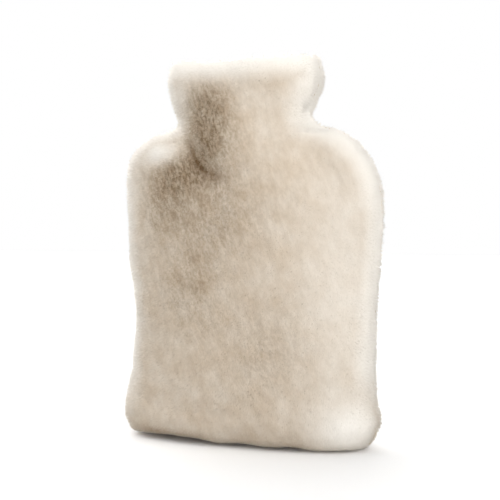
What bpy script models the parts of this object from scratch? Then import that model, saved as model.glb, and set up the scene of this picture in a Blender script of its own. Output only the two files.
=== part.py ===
"""Sheepskin hot water bottle cover, standing on its base with its neck open at the top.

It is cut as two bottle-shaped panels of sheared sheepskin, a front and a back, each with its neck in one
piece with its body. They are sewn together down both sides and under the base, wool outwards, so the cover
is one pouch with a wide neck as its mouth. The hide and its pile are one thick wall, and the solids reach
as far as the pile does.

Units are metres. +X is to the right of the cover, +Y to its back and +Z up. The seam lies on y = 0, and the
origin is on the surface that the cover stands on, under the middle of it.
"""

import math

import bmesh
import bpy
import numpy as np

# Driving dimensions
WALL = 0.014  # hide and sheared pile together
SEAM_GAP = 0.0003  # between the two panels where they are sewn
SEAM_VALLEY = 0.0022  # how far the wool draws in along the side seams
SEAM_VALLEY_REACH = 0.007
LIP_HEIGHT = 0.008  # rounded pile that stands above the wall at the mouth
LIP_STEPS = 5  # points across the rounded lip
EAR_HEIGHT = 0.0035  # how far the lip rises at the two corners of the mouth
EAR_START = 0.035  # distance from the middle of the mouth at which that rise begins
EAR_REACH = 0.020
FLAT_BELOW = 0.004  # lumps and folds fade out towards the base, which is flat
FLAT_FADE = 0.030
DEEPEST_FOLD = 0.009  # the wall keeps the rest of its thickness there
FOLD_FADE = 0.45  # the last share of its length, over which a fold fades
FOLD_END = 0.15  # how far along that fade a fold still is where it ends
SOFTENING_PASSES = 1  # each one evens out the relief of the wool between neighbouring points

COLUMNS = 42  # across each panel, from the left seam to the right seam
ROWS_PER_SECTION = 2  # of the outer skin; the inner one has a row for each section
SHARP_EDGE = math.radians(60)  # edges that turn more than this are shaded as edges

# Horizontal sections of the cover from the seam under its base up to its mouth. left and right are half
# widths from the middle, front and back are depths from the seam, and square is the power of the rounded
# section: 2 is an ellipse, and more is squarer.
SECTIONS = (
    # height, left, right, front, back, square
    (0.0000, 0.0930, 0.0930, 0.0000, 0.0000, 2.60),  # seam under the base
    (0.0000, 0.1000, 0.0990, 0.0160, 0.0150, 2.60),
    (0.0000, 0.1075, 0.1050, 0.0290, 0.0280, 2.65),  # edge of the flat base
    (0.0025, 0.1180, 0.1125, 0.0372, 0.0360, 2.70),
    (0.0090, 0.1242, 0.1190, 0.0428, 0.0415, 2.62),
    (0.0190, 0.1268, 0.1240, 0.0458, 0.0452, 2.52),
    (0.0300, 0.1272, 0.1265, 0.0473, 0.0468, 2.40),  # corners of the base, pushed out
    (0.0480, 0.1253, 0.1218, 0.0483, 0.0478, 2.26),
    (0.0800, 0.1218, 0.1218, 0.0485, 0.0483, 2.14),
    (0.1250, 0.1208, 0.1234, 0.0485, 0.0483, 2.10),  # waist
    (0.1650, 0.1234, 0.1260, 0.0480, 0.0483, 2.08),
    (0.2020, 0.1264, 0.1290, 0.0475, 0.0475, 2.06),
    (0.2300, 0.1283, 0.1284, 0.0470, 0.0465, 2.05),  # widest at the shoulders
    (0.2500, 0.1288, 0.1230, 0.0460, 0.0450, 2.05),
    (0.2660, 0.1262, 0.1151, 0.0448, 0.0428, 2.05),
    (0.2770, 0.1192, 0.1061, 0.0438, 0.0408, 2.05),
    (0.2850, 0.1102, 0.0976, 0.0428, 0.0388, 2.05),
    (0.2910, 0.0968, 0.0876, 0.0418, 0.0368, 2.10),  # tops of the shoulders
    (0.2960, 0.0815, 0.0715, 0.0410, 0.0355, 2.20),
    (0.3030, 0.0748, 0.0616, 0.0405, 0.0345, 2.30),  # narrowest at the neck
    (0.3140, 0.0765, 0.0620, 0.0405, 0.0345, 2.32),
    (0.3280, 0.0795, 0.0687, 0.0410, 0.0350, 2.35),
    (0.3400, 0.0806, 0.0717, 0.0410, 0.0350, 2.38),  # neck flares to its mouth
    (0.3495, 0.0780, 0.0701, 0.0394, 0.0340, 2.38),
)

# Soft folds, each along a short line of (x, z) points on one panel. A fold is a trough where its depth is
# above zero and a swell where it is below, and it fades over its last stretch.
FOLDS = {
    "front_panel": (
        # line, depth, half width
        (((-0.067, 0.293), (-0.037, 0.260), (-0.029, 0.249), (0.003, 0.233)), 0.0130, 0.019),
        (((-0.023, 0.243), (-0.017, 0.228), (-0.016, 0.212)), 0.0030, 0.018),
        (((0.058, 0.294), (0.071, 0.272), (0.092, 0.236), (0.103, 0.214)), 0.0085, 0.024),
        (((-0.004, 0.292), (0.006, 0.268), (0.014, 0.248)), -0.0050, 0.034),
        (((-0.090, 0.040), (-0.030, 0.026), (0.030, 0.034)), 0.0022, 0.020),
    ),
    "back_panel": (
        (((0.060, 0.294), (0.040, 0.266), (0.014, 0.248)), 0.0080, 0.019),
        (((-0.068, 0.294), (-0.054, 0.266), (-0.046, 0.240)), 0.0045, 0.021),
        (((-0.040, 0.120), (0.020, 0.100), (0.070, 0.110)), 0.0025, 0.032),
    ),
}

# Slow lumps of the wool, as waves over the panels.
LUMPS = (
    # height, waves per metre along x, waves per metre along z, phase in turns
    (0.0014, 7.0, 5.0, 0.10),
    (0.0011, -11.0, 8.0, 0.55),
    (0.0008, 16.0, -13.0, 0.30),
)

WOOL_COLOUR = (0.76, 0.68, 0.58, 1.0)
WOOL_ROUGHNESS = 0.95


def between_sections(place):
    """The section at a place counted in sections from the base, on a smooth curve through the table."""
    last = len(SECTIONS) - 1
    start = min(int(place), last - 1)
    part = place - start
    before, low, high, after = (
        np.array(SECTIONS[min(max(start + step, 0), last)]) for step in (-1, 0, 1, 2)
    )
    section = 0.5 * (
        2 * low
        + (high - before) * part
        + (2 * before - 5 * low + 4 * high - after) * part**2
        + (3 * low - before - 3 * high + after) * part**3
    )
    section[0] = max(section[0], 0.0)
    return section


def ring(section):
    """Points round one section: along the front from the left seam to the right one, and back behind."""
    height, left, right, front, back, square = section
    points = []
    for column in range(2 * COLUMNS):
        turn = math.pi * column / COLUMNS
        across, outwards = -math.cos(turn), -math.sin(turn)
        half_width = left if across < 0 else right
        depth = front if outwards < 0 else back
        points.append(
            (
                half_width * math.copysign(abs(across) ** (2 / square), across),
                depth * math.copysign(abs(outwards) ** (2 / square), outwards),
                height,
            )
        )
    points[COLUMNS] = (right, 0.0, height)
    points[0] = (-left, 0.0, height)
    return points


def smooth_form():
    """The cover without its folds: points and outward directions, by row from the base and by column."""
    rows = (len(SECTIONS) - 1) * ROWS_PER_SECTION + 1
    points = np.array([ring(between_sections(row / ROWS_PER_SECTION)) for row in range(rows)])
    up = np.gradient(points, axis=0)
    round_it = np.roll(points, -1, axis=1) - np.roll(points, 1, axis=1)
    outward = np.cross(round_it, up)
    outward[0] = (0.0, 0.0, -1.0)
    outward[:, (0, COLUMNS), 1] = 0.0
    outward /= np.linalg.norm(outward, axis=2, keepdims=True)
    return points, outward


def ease(share):
    """0 to 1 with a soft start and a soft end."""
    share = np.clip(share, 0.0, 1.0)
    return share * share * (3 - 2 * share)


def fold_depth(x, z, line, depth, half_width):
    """How deep a fold is at a point of its panel."""
    nearest, along = half_width, 0.0
    stretches = len(line) - 1
    for number, ((x0, z0), (x1, z1)) in enumerate(zip(line, line[1:])):
        run = (x1 - x0, z1 - z0)
        share = ((x - x0) * run[0] + (z - z0) * run[1]) / (run[0] ** 2 + run[1] ** 2)
        share = min(max(share, 0.0), 1.0)
        distance = math.hypot(x - x0 - share * run[0], z - z0 - share * run[1])
        if distance < nearest:
            nearest, along = distance, (number + share) / stretches
    return depth * ease(1 - nearest / half_width) * ease((1 - along) / FOLD_FADE + FOLD_END)


def relief(x, y, z, panel):
    """How far the wool stands in front of the smooth form at a point, and behind it where this is below 0."""
    lumps = sum(
        height * math.sin(2 * math.pi * (along_x * x + along_z * z + phase))
        for height, along_x, along_z, phase in LUMPS
    )
    folds = sum(fold_depth(x, z, *fold) for fold in FOLDS[panel])
    valley = SEAM_VALLEY * math.exp(-((y / SEAM_VALLEY_REACH) ** 2))
    at_seam = ease(abs(y) / SEAM_VALLEY_REACH)
    return ease((z - FLAT_BELOW) / FLAT_FADE) * (at_seam * (lumps - folds) - valley)


def softened(heights):
    """The relief with each point drawn towards the mean of its four neighbours."""
    for _ in range(SOFTENING_PASSES):
        inside = heights[1:-1, 1:-1]
        neighbours = heights[:-2, 1:-1] + heights[2:, 1:-1] + heights[1:-1, :-2] + heights[1:-1, 2:]
        heights[1:-1, 1:-1] = (4 * inside + neighbours) / 8
    return heights


def panel_skin(points, outward, columns, panel, side):
    """Outer and inner skins of one panel, with its sewn edges half the gap away from the seam."""
    smooth, direction = points[:, columns], outward[:, columns]
    heights = np.array([[relief(*point, panel) for point in row] for row in smooth])
    heights = softened(np.maximum(heights, -DEEPEST_FOLD))
    outer = smooth + heights[:, :, None] * direction
    inner = (smooth - WALL * direction)[::ROWS_PER_SECTION]
    for skin in (outer, inner):
        skin[0, :, 1] = 0.0
        skin[:, (0, -1), 1] = 0.0
        skin[:, :, 1] = side * np.maximum(side * skin[:, :, 1], SEAM_GAP / 2)
    outer[:, :, 2] = np.maximum(outer[:, :, 2], 0.0)
    return outer, inner


def ear_rise(x):
    """How much higher the lip is at each x than in the middle of the mouth."""
    return EAR_HEIGHT * ease((np.abs(x) - EAR_START) / EAR_REACH)


def lip_rows(edge_outer, edge_inner):
    """Rows that carry the pile over the mouth in a half round, between the two skins' top rows."""
    rows = []
    for step in range(1, LIP_STEPS + 1):
        turn = math.pi * step / (LIP_STEPS + 1)
        across = (1 - math.cos(turn)) / 2
        row = edge_outer + across * (edge_inner - edge_outer)
        row[:, 2] += math.sin(turn) * (LIP_HEIGHT + ear_rise(row[:, 0]))
        rows.append(row)
    return rows


def close_strip(mesh, first, second):
    """Faces between two rows of corners."""
    for a, b, c, d in zip(first, first[1:], second[1:], second):
        mesh.faces.new((a, b, c, d))


def sheepskin_panel(name, points, outward, columns, side, material, collection):
    """One panel as a closed solid: its skins, the lip at its mouth and its sewn edges."""
    outer, inner = panel_skin(points, outward, columns, name, side)
    lip = lip_rows(outer[-1], inner[-1])
    mesh = bmesh.new()
    profile = [*outer, *lip, *inner[::-1]]
    rows = [[mesh.verts.new(point) for point in row] for row in profile]
    for low, high in zip(rows, rows[1:]):
        close_strip(mesh, low, high)
    close_strip(mesh, rows[-1], rows[0])
    for edge in (0, -1):
        mesh.faces.new([row[edge] for row in rows])
    bmesh.ops.recalc_face_normals(mesh, faces=mesh.faces)
    data = bpy.data.meshes.new(name)
    mesh.to_mesh(data)
    mesh.free()
    data.shade_smooth()
    data.set_sharp_from_angle(angle=SHARP_EDGE)
    data.materials.append(material)
    panel = bpy.data.objects.new(name, data)
    collection.objects.link(panel)
    return panel


def wool_material(name):
    material = bpy.data.materials.new(name)
    material.use_nodes = True
    shader = material.node_tree.nodes["Principled BSDF"]
    shader.inputs["Base Color"].default_value = WOOL_COLOUR
    shader.inputs["Roughness"].default_value = WOOL_ROUGHNESS
    shader.inputs["Metallic"].default_value = 0.0
    return material


def clear_scene():
    for thing in list(bpy.data.objects):
        bpy.data.objects.remove(thing, do_unlink=True)


def main():
    clear_scene()
    cover = bpy.data.collections.new("hot_water_bottle_cover")
    bpy.context.scene.collection.children.link(cover)
    points, outward = smooth_form()
    front_columns = list(range(COLUMNS + 1))
    back_columns = [*range(COLUMNS, 2 * COLUMNS), 0]
    sheepskin_panel(
        "front_panel", points, outward, front_columns, -1, wool_material("front_wool"), cover
    )
    sheepskin_panel(
        "back_panel", points, outward, back_columns, 1, wool_material("back_wool"), cover
    )


main()
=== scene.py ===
"""Looks of the sheepskin hot water bottle cover: its two fleeces, their sheared pile, and the studio."""

import math
import random

import bmesh
import bpy
import numpy as np
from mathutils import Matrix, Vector, kdtree, noise


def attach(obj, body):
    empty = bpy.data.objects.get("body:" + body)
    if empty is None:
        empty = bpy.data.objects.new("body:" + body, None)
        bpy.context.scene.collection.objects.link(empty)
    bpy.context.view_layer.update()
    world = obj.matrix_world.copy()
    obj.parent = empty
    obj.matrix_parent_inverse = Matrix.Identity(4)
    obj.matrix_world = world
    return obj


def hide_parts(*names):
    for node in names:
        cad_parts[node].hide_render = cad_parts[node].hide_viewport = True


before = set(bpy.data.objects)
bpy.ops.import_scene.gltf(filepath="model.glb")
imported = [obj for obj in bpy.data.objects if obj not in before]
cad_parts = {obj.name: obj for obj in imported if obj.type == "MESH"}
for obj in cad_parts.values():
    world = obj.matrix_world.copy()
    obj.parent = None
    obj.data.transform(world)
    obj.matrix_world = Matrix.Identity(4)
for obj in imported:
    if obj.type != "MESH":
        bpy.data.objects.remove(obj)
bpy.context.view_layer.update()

MM = 0.001
FRONT, BACK = -1, 1  # the sides of the seam that the two panels lie on, along y

# The hide and its wool, in metres
MOUTH_EDGE = 351 * MM  # above this height all of the lip is wool
BODY_MIDDLE = (100 * MM, 200 * MM)  # heights between which the wall has a plain inside and outside
WELD = 0.01 * MM
AT_SEAM = 0.3 * MM  # points this near to y = 0 are on the seam
PANEL_APART = 0.02 * MM  # off the seam, each panel stays at least this far on its own side
SEAM_FILL = 2.8 * MM  # the wool of both panels closes over the seam's valley
SEAM_REACH = 11 * MM  # and rises towards it from this far to each side
SEAM_MATCH = 0.5 * MM  # points of the two panels this near each other at the seam are one
OUTSIDE_REACH = 10 * MM  # marks on one side of the cover fade out over this depth towards the seam
SEWN_FACING = 0.9  # how squarely the sewn edges face the seam, at least
ROUNDING_LEVELS = 2
FOLD_STEPS = 12  # of evening out, which end the folds

# The sheared pile
PILE = 3.0 * MM  # fibre tips stand this far in front of the bed of dense wool under them
TUFT_PITCH = 2.1 * MM
TUFTS_AT_MOST = 600_000.0  # tried on each square metre, before the pitch thins them out
TUFT_KINDS = 5
TUFT_SEED = 40
FIBRES_PER_TUFT = 7
FIBRE_SIDES = 3
FIBRE_RADIUS = 0.36 * MM  # a lock of fibres at its root: drawn far thicker than one hair, so that it shows
FIBRE_ROOTS = (0.8, 1.2)  # thinnest and thickest, of that radius
FIBRE_RING = 0.40 * TUFT_PITCH  # they stand this far from the middle of their tuft
FIBRE_SWAY = 0.4  # radians, to either side of their even places in that ring
FIBRE_SHIFT = 0.15 * TUFT_PITCH  # most that chance moves one from its place, either way
FIBRE_LEAN = (-0.75, 0.15)  # of a fibre's distance from the middle, and towards it where below 0
FIBRE_WANDER = 0.35 * MM  # most that chance moves its tip, either way
FIBRE_HEIGHTS = (0.6, 1.35, 0.95)  # shortest, longest and most usual share of the pile's length
FIBRE_STRIP = (0.2, 0.5, 0.8)  # where the corners of its root lie across its strip of the texture
TUFT_WIDTHS = (0.9, 1.2)  # narrowest and widest, of a tuft as it is made
WIDTH_SEED, SHADE_SEED = 5, 9
NAP = (0.05, 0.0, -0.30)  # which way the pile leans, for each unit of its length
SLOW_SWIRL = (23.8095 * MM, 0.5)  # size, and how far it leans the pile
QUICK_SWIRL = (5.26316 * MM, 0.3)
RUFFLED_SWIRL = 1.5  # how much more the pile swirls where it is ruffled
SHEARING = (13.3333 * MM, 0.88, 1.12)  # size of the clouds in its length, and its least and most share
UNDERNEATH = (-0.9, -0.2)  # how far up the wool faces where it is wholly under the cover, and not yet
UNDERNEATH_SHARE = 0.35  # of the pile's length, where the cover lies on it
OWN_WAY_SHARE = 0.08  # how much a fibre's own sides show in the light, against the skin under it
LEAST_FACING = 0.05  # of a fibre's side towards the way that it is lit as: turned away, it would be black
PILE_BANDS = (
    # name, from this height, to this height
    ("low", -1.0, 0.118),
    ("middle", 0.118, 0.226),
    ("high", 0.226, 1.0),
)
BAKE_CELLS = 96  # the tufts in a row of the baked texture
BAKE_CELL_MARGIN = 0.1  # of a cell, on each side
FLOOR_CLEARANCE = 0.3 * MM

# Unevenness of the wool: the size of its lumps, and their height
SLOW_RELIEF = (31.25 * MM, 1.1 * MM)
MIDDLING_RELIEF = (11.7647 * MM, 0.8 * MM)
COMBED_RELIEF = (6.06061 * MM, 0.4 * MM)
COMBED_RUFFLE = 0.5 * MM  # added to its height where the pile is ruffled
COMBED_SQUEEZE = 0.55  # of its pattern along the strokes, which draws them out
COMB_TURN = 0.4  # radians that the strokes in the wool lean to the left of upright
COMB_UP, COMB_LEFT = 0.92, 0.39  # how far a stroke goes up and to the left, of its length

# The lower edge, which curls up off the table, from left to right
BASE_CURL = (
    # x, height
    (-0.124, 1.0 * MM),
    (-0.104, 4.0 * MM),
    (-0.070, 6.2 * MM),
    (-0.040, 5.0 * MM),
    (-0.018, 1.6 * MM),
    (0.004, 4.2 * MM),
    (0.028, 1.8 * MM),
    (0.052, 4.0 * MM),
    (0.072, 0.8 * MM),
    (0.098, 1.6 * MM),
    (0.124, 0.6 * MM),
)
BASE_CURL_REACH = 16 * MM  # up from the table
BASE_CURL_DEPTH = (3 * MM, 17 * MM)  # away from the seam: where the curl starts, and where it is whole
PRESSED_SHARE = 0.75  # of the pile's length, lost where the cover stands on it
PRESSED_FACING = 0.4  # the wool is pressed from where it faces down this much, and wholly at twice as much

# Soft patches of the wool: where it is ruffled and painted with shade, and where light is painted into it
RUFFLED_AND_SHADED_PILE = (  # where the pile is ruffled, with painted shade in its depth
    # side, (x, z), half sizes, strength
    (FRONT, (-0.030, 0.312), (0.026, 0.024), 0.9),
    (FRONT, (-0.024, 0.282), (0.026, 0.026), 0.8),
    (FRONT, (-0.054, 0.252), (0.030, 0.020), 0.9),
    (FRONT, (-0.074, 0.226), (0.026, 0.030), 0.5),
    (FRONT, (-0.018, 0.215), (0.050, 0.036), 0.4),
    (FRONT, (-0.042, 0.148), (0.034, 0.044), 0.4),
    (FRONT, (0.036, 0.090), (0.040, 0.040), 0.25),
    (BACK, (0.050, 0.255), (0.040, 0.030), 0.8),
    (BACK, (-0.030, 0.120), (0.045, 0.040), 0.4),
)
PAINTED_LIGHT_PATCHES = (  # painted light: where the wool is painted paler, as if more brightly lit
    # side, (x, z), half sizes, strength
    (FRONT, (-0.082, 0.272), (0.020, 0.012), 0.9),
    (FRONT, (0.105, 0.150), (0.045, 0.120), 0.45),
    (FRONT, (-0.060, 0.326), (0.012, 0.022), 0.5),
    (FRONT, (0.020, 0.325), (0.030, 0.030), 0.1),
    (FRONT, (0.104, 0.020), (0.030, 0.026), 0.9),
    (BACK, (-0.090, 0.180), (0.040, 0.100), 0.35),
)
# Painted rim light: along the cover's outline the wool is painted paler, as if lit from behind
PAINTED_RIM_LIGHT = 0.9
PAINTED_RIM_LIGHT_REACH = 15 * MM
PAINTED_RIM_LIGHT_RISE = (15 * MM, 75 * MM)  # heights between which the painted rim light comes in

# Lines on the front along which shade is painted: in and beside the fold from the neck, and under the
# lower edge
CREASE = (
    # x, z, how dark the painted shade is
    (-0.0517, 0.2814, 0.3),
    (-0.0456, 0.2728, 0.7),
    (-0.0400, 0.2625, 1.0),
    (-0.0345, 0.2550, 1.0),
    (-0.0300, 0.2520, 0.8),
    (-0.0236, 0.2505, 0.7),
    (-0.0145, 0.2460, 0.35),
    (-0.0052, 0.2412, 0.0),
)
CREASE_SHADE = (
    # x, z, how dark the painted shade is
    (-0.0490, 0.2780, 0.0),
    (-0.0400, 0.2620, 0.45),
    (-0.0345, 0.2545, 0.5),
    (-0.0236, 0.2490, 0.35),
    (-0.0100, 0.2430, 0.0),
)
CREASE_BRANCH = (
    # x, z, how dark the painted shade is
    (-0.0335, 0.2500, 0.5),
    (-0.0330, 0.2430, 0.4),
    (-0.0332, 0.2336, 0.0),
)
LOWER_EDGE = (
    # x, z, how dark the painted shade is
    (-0.106, 0.007, 0.2),
    (-0.088, 0.008, 0.6),
    (-0.060, 0.007, 0.6),
    (-0.035, 0.005, 0.5),
    (-0.020, 0.002, 0.2),
    (0.002, 0.002, 0.4),
    (0.025, 0.003, 0.2),
    (0.055, 0.003, 0.45),
    (0.078, 0.003, 0.0),
)
PAINTED_SHADE_LINES = (
    # line, how far it reaches to each side
    (CREASE, 2.6 * MM),
    (CREASE_SHADE, 7.0 * MM),
    (CREASE_BRANCH, 2.6 * MM),
    (LOWER_EDGE, 5.0 * MM),
)

# How far light spreads in a deep pile
LIGHT_SPREAD_STEPS = 8
LIGHT_SPREAD_SHARE = 0.6

# Sizes of the patterns in the colours and the bump
CLOUD = 20.8333 * MM
CLUMP = 6.66667 * MM
STROKE = 2.32558 * MM
STROKE_STRETCH = 2.0
BED_STROKE = 1.11111 * MM  # drawn as coarse as it needs to be to show
BED_STROKE_SQUEEZE = 0.35
SUEDE_BLOTCH = 16.6667 * MM
SUEDE_NAP = 0.555556 * MM

# The camera, from the photograph's framing on a 36 mm sensor
PHOTO_WIDTH_PX = 500
FOCAL_PX = 985
SENSOR_MM = 36.0
CAMERA_TURN = math.radians(21)
CAMERA_DISTANCE = 0.927
CAMERA_HEIGHT = 0.2013
CAMERA_AIM = Vector((0.0, 0.0, 0.180))

# The studio
FLOOR_COLOUR = "#f2f2f2"
FLOOR_HALF = 6.0
FLOOR_RETURN_COLOUR = "#c6c2bb"
FLOOR_RETURN_HALF = 3.0
FLOOR_RETURN_DROP = 0.2 * MM  # under the table that is seen
LIGHT_WIDTH = math.radians(100)
STUDIO_LIGHT = (
    # name, side that it comes from, strength
    ("left_back_light", (-0.75, 0.6, 0.28), 2.45),
    ("top_left_back_light", (-0.5, 0.5, 0.7), 1.85),
    ("left_light", (-1.0, 0.0, 0.2), 0.85),
    ("back_light", (0.0, 1.0, 0.2), 0.55),
    ("front_light", (0.1, -1.0, 0.1), 1.15),
    ("right_front_light", (0.85, -0.5, 0.15), 1.25),
    ("top_right_front_light", (0.6, -0.6, 0.5), 1.9),
)

MATH = "ShaderNodeMath"
VECTOR_MATH = "ShaderNodeVectorMath"
NOISE = "ShaderNodeTexNoise"
MAP_RANGE = "ShaderNodeMapRange"
COMBINE = "ShaderNodeCombineXYZ"
SEPARATE = "ShaderNodeSeparateXYZ"
NAMED_ATTRIBUTE = "GeometryNodeInputNamedAttribute"
RANDOM = "FunctionNodeRandomValue"
STORE = "GeometryNodeStoreNamedAttribute"


def linear(hex_colour):
    """An sRGB hex colour as linear RGBA."""
    channels = [int(hex_colour[i : i + 2], 16) / 255 for i in (1, 3, 5)]
    return (*(c / 12.92 if c <= 0.04045 else ((c + 0.055) / 1.055) ** 2.4 for c in channels), 1.0)


def add(tree, kind, *values, inputs=None, output=None, **settings):
    """Adds a node with its settings. Its inputs, in order or by key, take values or links from sockets."""
    node = tree.nodes.new(kind)
    for name, value in settings.items():
        setattr(node, name, value)
    for key, value in (*enumerate(values), *(inputs or {}).items()):
        if isinstance(value, bpy.types.NodeSocket):
            tree.links.new(value, node.inputs[key])
        else:
            node.inputs[key].default_value = value
    return node if output is None else node.outputs[output]


def read(elements, name, width, kind=float):
    """One property of all of a mesh's elements, as rows of numbers."""
    values = np.empty(width * len(elements), dtype=kind)
    elements.foreach_get(name, values)
    return values.reshape(-1, width)


def unit(ways):
    """Rows of directions at length 1."""
    return ways / np.maximum(np.linalg.norm(ways, axis=1), 1e-9)[:, None]


# ---- materials ----


def new_material(name):
    """A material, its tree and the Principled shader in it."""
    material = bpy.data.materials.new(name)
    material.use_nodes = True
    return material, material.node_tree, material.node_tree.nodes["Principled BSDF"]


def soft_pattern(tree, place, size, low, high, most, detail=2.0, distortion=0.0):
    """Soft lumps of one size, as a share from 0 where their noise is low to most where it is high."""
    lumps = add(
        tree,
        NOISE,
        inputs={"Vector": place, "Scale": 1 / size, "Detail": detail, "Distortion": distortion},
        output="Fac",
    )
    return add(tree, MAP_RANGE, lumps, low, high, 0.0, most, output=0)


def wool_colour(tree):
    """Cream wool in clouds and clumps, stroked where ruffled; painted light at the edges, painted shade in
    folds.
    """
    # Marks read here: painted rim light along the outline and in patches, painted shade along fold lines
    # and under the lower edge, and ruffled pile that also carries painted shade
    tip, tuft, edge, parting, rough = (
        add(tree, "ShaderNodeAttribute", attribute_name=name, output="Fac")
        for name in ("tip", "tuft_shade", "pale_edge", "parting", "open_pile")
    )
    place = add(tree, "ShaderNodeTexCoord", output="Object")
    combed = add(
        tree,
        "ShaderNodeMapping",
        vector_type="TEXTURE",
        inputs={"Vector": place, "Rotation": (0.0, -COMB_TURN, 0.0), "Scale": (1.0, 1.0, STROKE_STRETCH)},
        output=0,
    )
    clouds = soft_pattern(tree, place, CLOUD, low=0.3, high=0.7, most=0.45, detail=3.0)
    clumps = soft_pattern(tree, combed, CLUMP, low=0.34, high=0.66, most=1.0, distortion=0.2)
    strokes = soft_pattern(tree, combed, STROKE, low=0.40, high=0.64, most=0.9, distortion=0.5)
    calm = add(tree, MATH, 1.0, edge, operation="SUBTRACT", output=0)
    tufts = add(tree, MATH, tuft, calm, operation="MULTIPLY", output=0)
    shares = []
    # where ruffled, the clumps and strokes darken the wool more, which also paints shade there
    for pattern, if_ruffled, always in ((clumps, 0.40, 0.22), (strokes, 0.9, 0.1), (tufts, 0.3, 0.1)):
        strength = add(tree, MATH, rough, if_ruffled, always, operation="MULTIPLY_ADD", output=0)
        shares.append(add(tree, MATH, pattern, strength, operation="MULTIPLY", output=0))
    clump_share, stroke_share, tuft_share = shares
    # painted shade in the depth of the ruffled pile, less under the painted rim light
    painted_depth_shade = add(tree, MATH, rough, edge, operation="SUBTRACT", output=0)
    colour = linear("#d9cec0")
    for share, tint, blend in (
        (tip, "#ded7cc", "MIX"),
        (clouds, "#e4d5c1", "MULTIPLY"),
        (clump_share, "#cdbda6", "MULTIPLY"),
        (stroke_share, "#b3a999", "MULTIPLY"),
        # painted rim light: near white along the outline and in the patches of painted light
        (edge, "#f5f1ea", "MIX"),
        (tuft_share, "#d6c6b0", "MULTIPLY"),
        # painted shade in the ruffled pile
        (painted_depth_shade, "#d5cfc6", "MULTIPLY"),
        # painted shade, tan, in and beside the fold from the neck and under the curled lower edge
        (parting, "#a08765", "MULTIPLY"),
    ):
        layers = {0: share, 6: colour, 7: linear(tint)}
        colour = add(tree, "ShaderNodeMix", data_type="RGBA", blend_type=blend, inputs=layers, output=2)
    return colour


def set_wool(tree, shader):
    """Wool's colour and how it takes the light: dull, with a white glow where it is seen edge on."""
    tree.links.new(wool_colour(tree), shader.inputs["Base Color"])
    shader.inputs["Roughness"].default_value = 0.95
    shader.inputs["Specular IOR Level"].default_value = 0.15
    shader.inputs["Sheen Weight"].default_value = 0.6
    shader.inputs["Sheen Roughness"].default_value = 0.45
    shader.inputs["Sheen Tint"].default_value = linear("#fffaf2")


def pile_material():
    """Sheared lambswool: fibres cut to one length, which the eye sees as a soft, matt, downy surface."""
    material, tree, shader = new_material("sheared_lambswool_pile")
    set_wool(tree, shader)
    return material


def roughen(tree, shader, place, size, detail, depth):
    """Raises fine lumps on a surface, which catch the light."""
    lumps = add(tree, NOISE, inputs={"Vector": place, "Scale": 1 / size, "Detail": detail}, output="Fac")
    raised = {"Strength": 0.4, "Distance": depth, "Height": lumps}
    tree.links.new(add(tree, "ShaderNodeBump", inputs=raised, output="Normal"), shader.inputs["Normal"])


def bed_material():
    """Dense lambswool just below the sheared tips: matt like them, with fine upright strokes."""
    material, tree, shader = new_material("lambswool_bed")
    set_wool(tree, shader)
    place = add(tree, "ShaderNodeTexCoord", output="Object")
    squeeze = {"Vector": place, "Scale": (1.0, 1.0, BED_STROKE_SQUEEZE)}
    upright = add(tree, "ShaderNodeMapping", inputs=squeeze, output=0)
    roughen(tree, shader, upright, BED_STROKE, detail=2.0, depth=0.3 * MM)
    return material


def suede_material():
    """The flesh side of the hide, buffed to suede: matt tan with soft blotches and a short nap."""
    material, tree, shader = new_material("suede_hide")
    place = add(tree, "ShaderNodeTexCoord", output="Object")
    blotched = {"Vector": place, "Scale": 1 / SUEDE_BLOTCH, "Detail": 4.0}
    blotches = add(tree, NOISE, inputs=blotched, output="Fac")
    layers = {0: blotches, 6: linear("#cdb692"), 7: linear("#e6d6bb")}
    hide = add(tree, "ShaderNodeMix", data_type="RGBA", inputs=layers, output=2)
    tree.links.new(hide, shader.inputs["Base Color"])
    roughen(tree, shader, place, SUEDE_NAP, detail=3.0, depth=0.4 * MM)
    shader.inputs["Roughness"].default_value = 0.85
    shader.inputs["Sheen Weight"].default_value = 0.3
    return material


# ---- the fleece: hide and dense wool, taken from the panel's solid ----


def panel_faces(mesh):
    """A welded panel's faces on its wool side and on its sewn edges. The rest are its hide side."""
    middles = {face: face.calc_center_median() for face in mesh.faces}
    at_seam = {face for face in mesh.faces if abs(middles[face].y) < AT_SEAM}
    sewn = {face for face in at_seam if abs(face.normal.y) > SEWN_FACING}
    inner = min(  # this one surely faces into the cover
        (face for face in mesh.faces if BODY_MIDDLE[0] < middles[face].z < BODY_MIDDLE[1]),
        key=lambda face: middles[face].y * face.normal.y,
    )
    hide, reached = {inner}, [inner]
    while reached:  # the hide goes on from face to face, as far as the sewn edges and the lip of the mouth
        for edge in reached.pop().edges:
            for face in edge.link_faces:
                if face not in hide and face not in sewn and middles[face].z < MOUTH_EDGE:
                    hide.add(face)
                    reached.append(face)
    return set(mesh.faces) - hide - sewn, sewn


def store_soft_ways(mesh, wool_faces):
    """Keeps, at each point of the wool, the way it faces on the scale at which light spreads in it."""
    mesh.verts.index_update()
    ways = np.zeros((len(mesh.verts), 3))
    for face in mesh.faces:
        if face in wool_faces:
            for vertex in face.verts:
                ways[vertex.index] += face.normal * face.calc_area()
    at_seam = np.array([abs(vertex.co.y) < AT_SEAM for vertex in mesh.verts])
    used = np.linalg.norm(ways, axis=1) > 0
    pairs = np.array([[vertex.index for vertex in edge.verts] for edge in mesh.edges])
    pairs = pairs[used[pairs].all(axis=1)]
    ways[at_seam, 1] = 0.0
    ways = unit(ways)
    for _ in range(LIGHT_SPREAD_STEPS):
        spread = ways.copy()
        np.add.at(spread, pairs[:, 0], ways[pairs[:, 1]])
        np.add.at(spread, pairs[:, 1], ways[pairs[:, 0]])
        spread[at_seam, 1] = 0.0
        ways = unit(spread)
    layer = mesh.verts.layers.float_vector.new("soft_way")
    for vertex, way in zip(mesh.verts, ways):
        vertex[layer] = way


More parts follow.
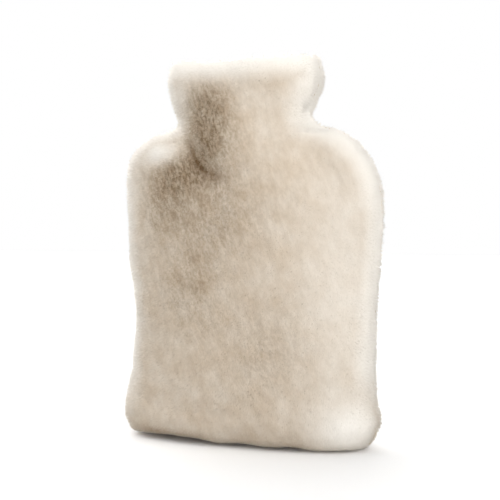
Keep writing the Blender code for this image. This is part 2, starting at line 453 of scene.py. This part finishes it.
def welded_panel(node):
    """A panel's solid as one welded mesh, with its wool marked and its sewn edges kept sharp."""
    mesh = bmesh.new()
    mesh.from_mesh(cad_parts[node].data)
    bmesh.ops.remove_doubles(mesh, verts=mesh.verts, dist=WELD)
    crease = mesh.edges.layers.float.new("crease_edge")
    wool = mesh.faces.layers.float.new("wool")
    wool_faces, sewn_faces = panel_faces(mesh)
    for face in sewn_faces:
        for edge in face.edges:
            edge[crease] = 1.0
    store_soft_ways(mesh, wool_faces)
    for face in mesh.faces:
        face[wool] = 1.0 if face in wool_faces else 0.0
        face.material_index = 0 if face in wool_faces else 1
        face.smooth = True
    data = bpy.data.meshes.new(node + "_fleece")
    mesh.to_mesh(data)
    mesh.free()
    return data


def bake_modifiers(body):
    """Turns an object's modifiers into its mesh."""
    graph = bpy.context.evaluated_depsgraph_get()
    graph.update()
    made = bpy.data.meshes.new_from_object(body.evaluated_get(graph), depsgraph=graph)
    body.modifiers.clear()
    body.data = made


def patches(points, table, side):
    """The strength at points of a table's soft patches on one side of the cover, up to 1."""
    strength = np.zeros(len(points))
    for patch_side, middle, reach, most in table:
        if patch_side == side:
            away = ((points[:, [0, 2]] - middle) / reach) ** 2
            strength += most * np.exp(-away.sum(axis=1))
    return np.minimum(strength * np.clip(side * points[:, 1] / OUTSIDE_REACH, 0, 1), 1.0)


def wool_relief(point, rough):
    """Unevenness of the wool in metres: slow, middling, and combed, which is highest where ruffled."""
    (slow, slow_height), (middling, middling_height) = SLOW_RELIEF, MIDDLING_RELIEF
    combed, combed_height = COMBED_RELIEF
    along = point.z * COMB_UP - point.x * COMB_LEFT
    across = point.x * COMB_UP + point.z * COMB_LEFT
    stroke = Vector((across, point.y, along * COMBED_SQUEEZE)) / combed
    return (  # the shifts keep the three patterns from lining up
        noise.noise(point / slow) * slow_height
        + noise.noise(point / middling + Vector((2.0, 5.0, 9.0))) * middling_height
        + noise.noise(stroke + Vector((7.0, 3.0, 1.0))) * (combed_height + COMBED_RUFFLE * rough)
    )


def wool_normals(data, points):
    """Which points are on the wool side, and the way that it faces there."""
    on_wool = read(data.attributes["wool"].data, "value", 1)[:, 0] > 0.5
    corners = read(data.polygons, "vertices", 4, int)[on_wool]
    outward = np.zeros_like(points)
    np.add.at(outward, corners, read(data.polygons, "normal", 3)[on_wool][:, None])
    drawn = np.linalg.norm(outward, axis=1) > 0
    outward[np.abs(points[:, 1]) < AT_SEAM, 1] = 0.0
    return drawn, unit(outward)


def bed_points(uncut, drawn, outward, ruffled, side):
    """Where the dense wool lies: in from the panel's outside by the pile's length, with its relief."""
    relief = np.zeros(len(uncut))
    for index in np.flatnonzero(drawn):
        relief[index] = wool_relief(Vector(uncut[index]), ruffled[index])
    relief += SEAM_FILL * np.clip(1 - np.abs(uncut[:, 1]) / SEAM_REACH, 0, 1) ** 2
    pressed = np.clip(-outward[:, 2] / PRESSED_FACING - 1, 0, 1)
    relief = relief * (1 - pressed) + PILE * PRESSED_SHARE * pressed
    points = uncut.copy()
    points[drawn] -= (outward * (PILE - relief)[:, None])[drawn]
    points[drawn, 1] = side * np.maximum(side * points[drawn, 1], PANEL_APART)
    points[drawn & (np.abs(uncut[:, 1]) < AT_SEAM), 1] = 0.0
    curl = np.interp(points[:, 0], *zip(*BASE_CURL))
    start, whole = BASE_CURL_DEPTH
    outer = np.clip((side * points[:, 1] - start) / (whole - start), 0, 1)
    low = np.clip(1 - points[:, 2] / BASE_CURL_REACH, 0, 1) ** 1.5
    points[drawn, 2] += (curl * outer * low)[drawn]
    return points


def smooth_folds(data, points, uncut, loose):
    """Evens out the few places where the wool, once drawn in, would fold over itself."""
    corners = read(data.polygons, "vertices", 4, int)
    pairs = read(data.edges, "vertices", 2, int)
    shared = np.maximum(np.bincount(pairs.ravel(), minlength=len(points)), 1)[:, None]

    def facing(places):
        first, second, third, fourth = (places[corners[:, number]] for number in range(4))
        return np.cross(third - first, fourth - second)

    outward = facing(uncut)
    for _ in range(FOLD_STEPS):
        folded = np.zeros(len(points), dtype=bool)
        folded[corners[(facing(points) * outward).sum(axis=1) < 0]] = True
        folded[pairs[folded[pairs].any(axis=1)]] = True
        folded &= loose
        total = np.zeros_like(points)
        np.add.at(total, pairs[:, 0], points[pairs[:, 1]])
        np.add.at(total, pairs[:, 1], points[pairs[:, 0]])
        points[folded] = (total / shared)[folded]


def soft_normals(data, drawn):
    """The way each point takes the light: on the wool, mostly as the broad shape under it does."""
    fine = read(data.vertex_normals, "vector", 3)
    soft = unit(read(data.attributes["soft_way"].data, "vector", 3))
    blended = LIGHT_SPREAD_SHARE * soft + (1 - LIGHT_SPREAD_SHARE) * fine
    return unit(np.where(drawn[:, None], blended, fine))


def join_seam(points, ways, on_seam, uncut, seam):
    """Keeps the first panel's points and ways at the seam, and gives the second panel the same ones."""
    if not seam:
        seam.extend(zip(uncut[on_seam], points[on_seam], ways[on_seam]))
        return
    places = kdtree.KDTree(len(seam))
    for number, (place, _, _) in enumerate(seam):
        places.insert((place[0], 0.0, place[2]), number)
    places.balance()
    for index in np.flatnonzero(on_seam):
        _, number, apart = places.find((uncut[index, 0], 0.0, uncut[index, 2]))
        if apart < SEAM_MATCH:
            _, points[index], ways[index] = seam[number]


def painted_shade_strength(points, line, reach):
    """How dark the painted shade is at points of the (x, z) plane, from a line of (x, z, strength)
    corners.
    """
    strength = np.zeros(len(points))
    for start, end in zip(line, line[1:]):
        start, step = np.array(start), np.subtract(end, start)
        along = np.clip((points - start[:2]) @ step[:2] / (step[:2] @ step[:2]), 0.0, 1.0)
        apart = np.linalg.norm(points - start[:2] - along[:, None] * step[:2], axis=1)
        strength = np.maximum(strength, (start[2] + along * step[2]) * np.exp(-((apart / reach) ** 2)))
    return strength


def painted_line_shade(points, drawn, side):
    """How dark the painted shade along the folds and under the lower edge is at each point; only the front
    has it.
    """
    parting = np.zeros(len(points))
    if side == FRONT:
        outside = drawn & (side * points[:, 1] > OUTSIDE_REACH)
        for line, reach in PAINTED_SHADE_LINES:
            strength = painted_shade_strength(points[:, [0, 2]], line, reach)
            parting[outside] = np.maximum(parting, strength)[outside]
    return parting


def painted_light_on_wool(points, drawn, side):
    """How much light is painted into the wool at each point: most along the cover's outline, and in some
    patches.
    """
    outline = kdtree.KDTree(len(points))
    rim = drawn & ((np.abs(points[:, 1]) < AT_SEAM) | (points[:, 2] > MOUTH_EDGE))
    for index in np.flatnonzero(rim):
        outline.insert((points[index, 0], 0.0, points[index, 2]), index)
    outline.balance()
    low, high = PAINTED_RIM_LIGHT_RISE
    rim_light = np.zeros(len(points))
    for index in np.flatnonzero(drawn):
        apart = outline.find((points[index, 0], 0.0, points[index, 2]))[2]
        risen = min(max((points[index, 2] - low) / (high - low), 0.0), 1.0)
        rim_light[index] = PAINTED_RIM_LIGHT * risen * math.exp(-((apart / PAINTED_RIM_LIGHT_REACH) ** 2))
    return np.maximum(rim_light, patches(points, PAINTED_LIGHT_PATCHES, side) * drawn)


def draw_in(data, side, seam):
    """Draws the wool side in by the pile's length, and marks on it what the pile and its colours need,
    painted light and shade among them.
    """
    uncut = read(data.vertices, "co", 3)
    drawn, outward = wool_normals(data, uncut)
    on_seam = drawn & (np.abs(uncut[:, 1]) < AT_SEAM)
    ruffled = patches(uncut, RUFFLED_AND_SHADED_PILE, side)
    points = bed_points(uncut, drawn, outward, ruffled, side)
    smooth_folds(data, points, uncut, drawn & ~on_seam)
    data.vertices.foreach_set("co", points.ravel())
    data.update()
    ways = soft_normals(data, drawn)
    join_seam(points, ways, on_seam, uncut, seam)
    data.vertices.foreach_set("co", points.ravel())
    data.attributes.new("skin_way", "FLOAT_VECTOR", "POINT").data.foreach_set("vector", ways.ravel())
    data.normals_split_custom_set_from_vertices(ways)
    # painted rim light and patches of painted light, painted shade along lines, and ruffled pile with
    # painted shade
    marks = {
        "pale_edge": painted_light_on_wool(points, drawn, side),
        "parting": painted_line_shade(points, drawn, side),
        "open_pile": ruffled,
    }
    for name, strength in marks.items():
        data.attributes.new(name, "FLOAT", "POINT").data.foreach_set("value", strength)
    data.update()


def fleece(node, side, bed, suede, seam):
    """One panel's hide with the dense wool on it, as a closed body."""
    data = welded_panel(node)
    data.materials.append(bed)
    data.materials.append(suede)
    body = bpy.data.objects.new(node.replace("panel", "fleece"), data)
    bpy.context.scene.collection.objects.link(body)
    rounding = body.modifiers.new("rounding", "SUBSURF")
    rounding.levels = rounding.render_levels = ROUNDING_LEVELS
    bake_modifiers(body)
    draw_in(body.data, side, seam)
    return body


# ---- the sheared pile ----


def tuft(name, shape_seed):
    """A tuft of fibre locks of about unit height: closed spikes that lean together at their tips."""
    pick = random.Random(shape_seed)
    mesh = bmesh.new()
    tip = mesh.verts.layers.float.new("tip")
    across = mesh.verts.layers.float.new("across")
    for number in range(FIBRES_PER_TUFT):
        angle = 2 * math.pi * number / (FIBRES_PER_TUFT - 1) + pick.uniform(-FIBRE_SWAY, FIBRE_SWAY)
        foot = Vector((math.cos(angle), math.sin(angle), 0.0)) * (FIBRE_RING if number else 0.0)
        foot += Vector((pick.uniform(-1, 1), pick.uniform(-1, 1), 0.0)) * FIBRE_SHIFT
        lean = foot * pick.uniform(*FIBRE_LEAN)
        height = pick.triangular(*FIBRE_HEIGHTS)
        head = foot + lean + Vector((pick.uniform(-1, 1), pick.uniform(-1, 1), 0.0)) * FIBRE_WANDER
        head.z = height
        turn = pick.uniform(0, 2 * math.pi)
        corners = []
        for corner in range(FIBRE_SIDES):
            way = turn + 2 * math.pi * corner / FIBRE_SIDES
            radius = FIBRE_RADIUS * pick.uniform(*FIBRE_ROOTS)
            vertex = mesh.verts.new(foot + Vector((math.cos(way), math.sin(way), 0.0)) * radius)
            vertex[across] = (number + FIBRE_STRIP[corner]) / FIBRES_PER_TUFT
            corners.append(vertex)
        top = mesh.verts.new(head)
        top[tip] = 1.0
        top[across] = (number + 0.5) / FIBRES_PER_TUFT
        mesh.faces.new(corners[::-1])
        for corner in range(FIBRE_SIDES):
            mesh.faces.new((corners[corner], corners[(corner + 1) % FIBRE_SIDES], top))
    for face in mesh.faces:
        face.smooth = True
    data = bpy.data.meshes.new(name)
    mesh.to_mesh(data)
    mesh.free()
    return bpy.data.objects.new(name, data)


def tuft_collection():
    """The kinds of tuft that the pile is made of, kept out of the scene itself."""
    kinds = bpy.data.collections.new("tuft_kinds")
    for number in range(TUFT_KINDS):
        kinds.objects.link(tuft(f"tuft_{number}", TUFT_SEED + number))
    return kinds


def tuft_points(tree, given, place):
    """The points that tufts stand on, evenly spread on the wool in one band of heights, and its normal."""
    height = add(tree, SEPARATE, place, output=2)
    above, below = (
        add(tree, "FunctionNodeCompare", height, given[limit], operation=relation, output=0)
        for relation, limit in (("GREATER_EQUAL", "From Height"), ("LESS_THAN", "To Height"))
    )
    wool = add(tree, NAMED_ATTRIBUTE, data_type="FLOAT", inputs={"Name": "wool"}, output=0)
    points = add(
        tree,
        "GeometryNodeDistributePointsOnFaces",
        distribute_method="POISSON",
        inputs={
            "Mesh": given["Fleece"],
            "Selection": add(tree, "FunctionNodeCompare", wool, 0.5, operation="GREATER_THAN", output=0),
            "Distance Min": given["Pitch"],
            "Density Max": TUFTS_AT_MOST,
            "Seed": given["Seed"],
        },
    )
    in_band = add(tree, "FunctionNodeBooleanMath", above, below, operation="AND", output=0)
    elsewhere = add(tree, "FunctionNodeBooleanMath", in_band, operation="NOT", output=0)
    removed = {"Geometry": points.outputs["Points"], "Selection": elsewhere}
    kept = add(tree, "GeometryNodeDeleteGeometry", domain="POINT", inputs=removed, output=0)
    return kept, points.outputs["Normal"]


def tuft_turn(tree, given, place, outward):
    """How each tuft is turned: square to the skin, leaning with the nap and in slow and quick swirls."""
    swirls = []
    for size, strength in (SLOW_SWIRL, QUICK_SWIRL):
        swirling = {"Vector": place, "Scale": 1 / size, "Detail": 1.0}
        swirl = add(tree, NOISE, inputs=swirling, output="Color")
        centred = add(tree, VECTOR_MATH, swirl, (0.5, 0.5, 0.5), operation="SUBTRACT", output=0)
        share = {"Scale": strength}
        swirls.append(add(tree, VECTOR_MATH, centred, operation="SCALE", inputs=share, output=0))
    both = add(tree, VECTOR_MATH, *swirls, operation="ADD", output=0)
    rough = add(tree, NAMED_ATTRIBUTE, data_type="FLOAT", inputs={"Name": "open_pile"}, output=0)
    more = add(tree, MATH, rough, RUFFLED_SWIRL, 1.0, operation="MULTIPLY_ADD", output=0)
    swirled = add(tree, VECTOR_MATH, both, operation="SCALE", inputs={"Scale": more}, output=0)
    lean = add(tree, VECTOR_MATH, swirled, given["Nap"], operation="ADD", output=0)
    leaning = add(tree, VECTOR_MATH, outward, lean, operation="ADD", output=0)
    way = add(tree, VECTOR_MATH, leaning, operation="NORMALIZE", output=0)
    upright = add(tree, "FunctionNodeAlignRotationToVector", axis="Z", inputs={"Vector": way}, output=0)
    any_turn = {2: 0.0, 3: 2 * math.pi, "Seed": given["Seed"]}
    spin = add(tree, RANDOM, data_type="FLOAT", inputs=any_turn, output=1)
    about_z = add(tree, COMBINE, inputs={"Z": spin}, output=0)
    return add(tree, "FunctionNodeRotateRotation", upright, about_z, rotation_space="LOCAL", output=0)


def tuft_size(tree, given, place, outward):
    """How wide and long each tuft is: sheared level but for soft clouds, and short under the cover."""
    size, shortest, longest = SHEARING
    clouds = add(tree, NOISE, inputs={"Vector": place, "Scale": 1 / size, "Detail": 2.0}, output="Fac")
    trim = add(tree, MAP_RANGE, clouds, 0.3, 0.7, shortest, longest, output=0)
    down = add(tree, SEPARATE, outward, output=2)
    underneath = add(tree, MAP_RANGE, down, *UNDERNEATH, UNDERNEATH_SHARE, 1.0, output=0)
    share = add(tree, MATH, trim, underneath, operation="MULTIPLY", output=0)
    length = add(tree, MATH, share, given["Length"], operation="MULTIPLY", output=0)
    narrowest, widest = TUFT_WIDTHS
    widths = {2: narrowest, 3: widest, "Seed": WIDTH_SEED}
    width = add(tree, RANDOM, data_type="FLOAT", inputs=widths, output=1)
    return add(tree, COMBINE, width, width, length, output=0)


def soft_lit(tree, fibres):
    """Makes the fibres take the light mostly as the skin under them does, which makes the pile soft."""
    skin_way = add(tree, NAMED_ATTRIBUTE, data_type="FLOAT_VECTOR", inputs={"Name": "skin_way"}, output=0)
    normal = add(tree, "GeometryNodeInputNormal")
    share = {"Scale": OWN_WAY_SHARE}
    own = add(tree, VECTOR_MATH, normal.outputs["Normal"], operation="SCALE", inputs=share, output=0)
    blended = add(tree, VECTOR_MATH, skin_way, own, operation="ADD", output=0)
    soft_way = add(tree, VECTOR_MATH, blended, operation="NORMALIZE", output=0)
    true_way = {0: normal.outputs["True Normal"]}
    on_face = {"data_type": "FLOAT_VECTOR", "domain": "FACE"}
    outward = add(tree, "GeometryNodeFieldOnDomain", inputs=true_way, output=0, **on_face)
    facing = add(tree, VECTOR_MATH, soft_way, outward, operation="DOT_PRODUCT", output="Value")
    missing = add(tree, MATH, LEAST_FACING, facing, operation="SUBTRACT", output=0)
    short_by = add(tree, MATH, missing, 0.0, operation="MAXIMUM", output=0)
    lift = add(tree, VECTOR_MATH, outward, operation="SCALE", inputs={"Scale": short_by}, output=0)
    lifted = add(tree, VECTOR_MATH, soft_way, lift, operation="ADD", output=0)
    way = add(tree, VECTOR_MATH, lifted, operation="NORMALIZE", output=0)
    turned = {"Mesh": fibres, "Custom Normal": way}
    return add(tree, "GeometryNodeSetMeshNormal", mode="FREE", domain="CORNER", inputs=turned, output=0)


def bake_map(tree, given, fibres):
    """Gives each tuft a cell of the baked texture, with its fibres across it and root to tip up it."""
    cell, across, tip = (
        add(tree, NAMED_ATTRIBUTE, data_type="FLOAT", inputs={"Name": name}, output=0)
        for name in ("cell", "across", "tip")
    )
    column = add(tree, MATH, cell, given["Cells"], operation="MODULO", output=0)
    rows_up = add(tree, MATH, cell, given["Cells"], operation="DIVIDE", output=0)
    row = add(tree, MATH, rows_up, operation="FLOOR", output=0)
    place = []
    for corner, share in ((column, across), (row, tip)):
        room = 1 - 2 * BAKE_CELL_MARGIN
        inset = add(tree, MATH, share, room, BAKE_CELL_MARGIN, operation="MULTIPLY_ADD", output=0)
        cells = add(tree, MATH, corner, inset, operation="ADD", output=0)
        place.append(add(tree, MATH, cells, given["Cells"], operation="DIVIDE", output=0))
    kept = {"Geometry": fibres, "Name": "OFBake", "Value": add(tree, COMBINE, *place, output=0)}
    return add(tree, STORE, data_type="FLOAT2", domain="CORNER", inputs=kept, output=0)


def pressed_flat(tree, given, fibres):
    """The floor presses the lowest fibres flat."""
    x, y, z = add(tree, SEPARATE, add(tree, "GeometryNodeInputPosition", output=0)).outputs
    lifted = add(tree, MATH, z, given["Clearance"], operation="MAXIMUM", output=0)
    moved = {"Geometry": fibres, "Position": add(tree, COMBINE, x, y, lifted, output=0)}
    return add(tree, "GeometryNodeSetPosition", inputs=moved, output=0)


def pile_tree():
    """Geometry nodes that stand tufts on the wool side of a fleece, between two heights."""
    tree = bpy.data.node_groups.new("sheared_pile", "GeometryNodeTree")
    for name, kind in (
        ("Fleece", "NodeSocketGeometry"),
        ("Tufts", "NodeSocketCollection"),
        ("Pitch", "NodeSocketFloat"),
        ("Length", "NodeSocketFloat"),
        ("From Height", "NodeSocketFloat"),
        ("To Height", "NodeSocketFloat"),
        ("Nap", "NodeSocketVector"),
        ("Clearance", "NodeSocketFloat"),
        ("Cells", "NodeSocketFloat"),
        ("Seed", "NodeSocketInt"),
        ("Material", "NodeSocketMaterial"),
    ):
        tree.interface.new_socket(name, in_out="INPUT", socket_type=kind)
    tree.interface.new_socket("Pile", in_out="OUTPUT", socket_type="NodeSocketGeometry")
    given = add(tree, "NodeGroupInput").outputs
    place = add(tree, "GeometryNodeInputPosition", output=0)
    points, outward = tuft_points(tree, given, place)
    kinds = {"Collection": given["Tufts"], "Separate Children": True, "Reset Children": True}
    standing = {
        "Points": points,
        "Instance": add(tree, "GeometryNodeCollectionInfo", inputs=kinds, output=0),
        "Pick Instance": True,
        "Rotation": tuft_turn(tree, given, place, outward),
        "Scale": tuft_size(tree, given, place, outward),
    }
    tufts = add(tree, "GeometryNodeInstanceOnPoints", inputs=standing, output=0)
    shade = add(tree, RANDOM, data_type="FLOAT", inputs={2: 0.0, 3: 1.0, "Seed": SHADE_SEED}, output=1)
    for name, value in (("tuft_shade", shade), ("cell", add(tree, "GeometryNodeInputIndex", output=0))):
        kept = {"Geometry": tufts, "Name": name, "Value": value}
        tufts = add(tree, STORE, data_type="FLOAT", domain="INSTANCE", inputs=kept, output=0)
    fibres = soft_lit(tree, add(tree, "GeometryNodeRealizeInstances", tufts, output=0))
    fibres = pressed_flat(tree, given, bake_map(tree, given, fibres))
    finished = {"Geometry": fibres, "Material": given["Material"]}
    add(tree, "NodeGroupOutput", add(tree, "GeometryNodeSetMaterial", inputs=finished, output=0))
    return tree


def socket_of(tree, name):
    """The identifier of a tree's input, which a modifier takes in place of its name."""
    return next(
        item.identifier
        for item in tree.interface.items_tree
        if item.item_type == "SOCKET" and item.in_out == "INPUT" and item.name == name
    )


def pile(body, band, low, high, tree, kinds, material, seed):
    """The sheared pile on one band of a fleece, as one mesh of fibre tufts."""
    name = body.name.replace("fleece", "pile") + "_" + band
    piece = bpy.data.objects.new(name, body.data.copy())
    bpy.context.scene.collection.objects.link(piece)
    growth = piece.modifiers.new("growth", "NODES")
    growth.node_group = tree
    settings = {
        "Tufts": kinds,
        "Pitch": TUFT_PITCH,
        "Length": PILE,
        "From Height": low,
        "To Height": high,
        "Nap": NAP,
        "Clearance": FLOOR_CLEARANCE,
        "Cells": float(BAKE_CELLS),
        "Seed": seed,
        "Material": material,
    }
    for setting, value in settings.items():
        growth[socket_of(tree, setting)] = value
    bake_modifiers(piece)
    piece.visible_shadow = piece.visible_diffuse = False  # light passes between hairs this fine
    return piece


# ---- studio ----


def camera():
    """The photograph's viewpoint: level with the cover's middle, a little to its right."""
    data = bpy.data.cameras.new("camera")
    data.sensor_width = SENSOR_MM
    data.lens = FOCAL_PX / PHOTO_WIDTH_PX * SENSOR_MM
    data.dof.use_dof = False
    across, away = CAMERA_DISTANCE * math.sin(CAMERA_TURN), CAMERA_DISTANCE * math.cos(CAMERA_TURN)
    eye = Vector((across, -away, CAMERA_HEIGHT))
    made = bpy.data.objects.new("camera", data)
    made.location = eye
    made.rotation_euler = (CAMERA_AIM - eye).to_track_quat("-Z", "Y").to_euler()
    bpy.context.scene.collection.objects.link(made)
    bpy.context.scene.camera = made


def table_top(name, half, height, colour):
    """A square matt table top."""
    mesh = bmesh.new()
    bmesh.ops.create_grid(mesh, x_segments=1, y_segments=1, size=half)
    data = bpy.data.meshes.new(name)
    mesh.to_mesh(data)
    mesh.free()
    material, _, shader = new_material(name)
    shader.inputs["Base Color"].default_value = linear(colour)
    shader.inputs["Roughness"].default_value = 0.9
    shader.inputs["Specular IOR Level"].default_value = 0.0
    data.materials.append(material)
    made = bpy.data.objects.new(name, data)
    made.location.z = height
    bpy.context.scene.collection.objects.link(made)
    return made


def floor():
    """A plain white table, as bright as in the photograph, and the dimmer light it returns to the wool."""
    seen = table_top("white_table", FLOOR_HALF, 0.0, FLOOR_COLOUR)
    seen.visible_diffuse = seen.visible_shadow = False
    returning = table_top("table_return", FLOOR_RETURN_HALF, -FLOOR_RETURN_DROP, FLOOR_RETURN_COLOUR)
    returning.visible_camera = False


def wide_light(name, side, strength):
    """A very soft light from one side of the studio."""
    data = bpy.data.lights.new(name, "SUN")
    data.angle = LIGHT_WIDTH
    data.energy = strength
    data.cycles.use_multiple_importance_sampling = False
    made = bpy.data.objects.new(name, data)
    made.rotation_euler = (-Vector(side)).to_track_quat("-Z", "Y").to_euler()
    bpy.context.scene.collection.objects.link(made)


def backdrop():
    """A white studio behind the cover. Its light comes from the wide lights."""
    world = bpy.data.worlds.new("studio")
    world.use_nodes = True
    tree = world.node_tree
    shader = tree.nodes["Background"]
    shader.inputs["Color"].default_value = linear("#ffffff")
    tree.links.new(add(tree, "ShaderNodeLightPath", output="Is Camera Ray"), shader.inputs["Strength"])
    bpy.context.scene.world = world


def studio():
    """The camera, the table, the backdrop and the lights."""
    camera()
    floor()
    backdrop()
    for name, side, strength in STUDIO_LIGHT:
        wide_light(name, side, strength)
    bpy.context.scene.view_settings.view_transform = "Standard"


def main():
    """Makes both fleeces with their pile, and the studio around them."""
    bed, suede, wool = bed_material(), suede_material(), pile_material()
    kinds, tree = tuft_collection(), pile_tree()
    seam = []  # where the first panel's wool meets it, for the second to meet it there too
    for number, (node, side) in enumerate((("front_panel", FRONT), ("back_panel", BACK))):
        body = fleece(node, side, bed, suede, seam)
        tops = [
            pile(body, band, low, high, tree, kinds, wool, seed=10 * number + at)
            for at, (band, low, high) in enumerate(PILE_BANDS)
        ]
        for piece in (body, *tops):
            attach(piece, "root")
        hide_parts(node)
    studio()


main()
